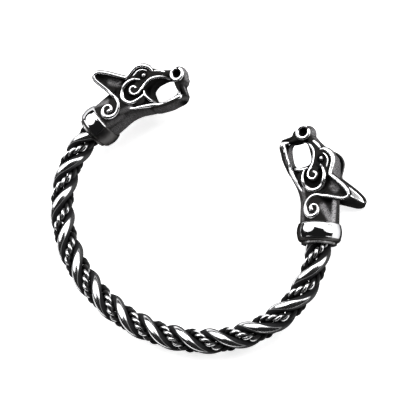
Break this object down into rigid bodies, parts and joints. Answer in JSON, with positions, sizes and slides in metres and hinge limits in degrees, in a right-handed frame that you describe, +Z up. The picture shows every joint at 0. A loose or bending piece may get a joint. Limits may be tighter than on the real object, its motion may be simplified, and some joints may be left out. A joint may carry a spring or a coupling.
{
  "type": "viking arm ring",
  "caption": "Open oval arm ring: a rope of smooth and twisted metal strands, ending in plain ferrules and cast wolf heads with open mouths, fangs, upright ears and raised curls.",
  "frame": {"origin": "centre of the rope's oval, in the middle of the hollow that the arm goes through", "axes": "+X from the left head's side to the right head's, across the ring's width; +Y out of the gap between the heads; +Z up from the surface that the ring lies on"},
  "size_m": [0.0747, 0.0625, 0.0129],
  "materials": {
    "head_metal": "cast metal, polished on the raised ribs and blackened in every hollow",
    "collar_metal": "mirror polished",
    "smooth_wire": "polished wire, darkened where strands meet",
    "twisted_wire": "fine wires twisted in pairs, bright crests and blackened grooves"
  },
  "bodies": {
    "root": {"head_left": "head_metal", "head_right": "head_metal", "collar_left": "collar_metal", "collar_right": "collar_metal", "smooth_strand_1": "smooth_wire", "smooth_strand_2": "smooth_wire", "twisted_strand_1": "twisted_wire", "twisted_strand_2": "twisted_wire"}
  },
  "joints": []
}
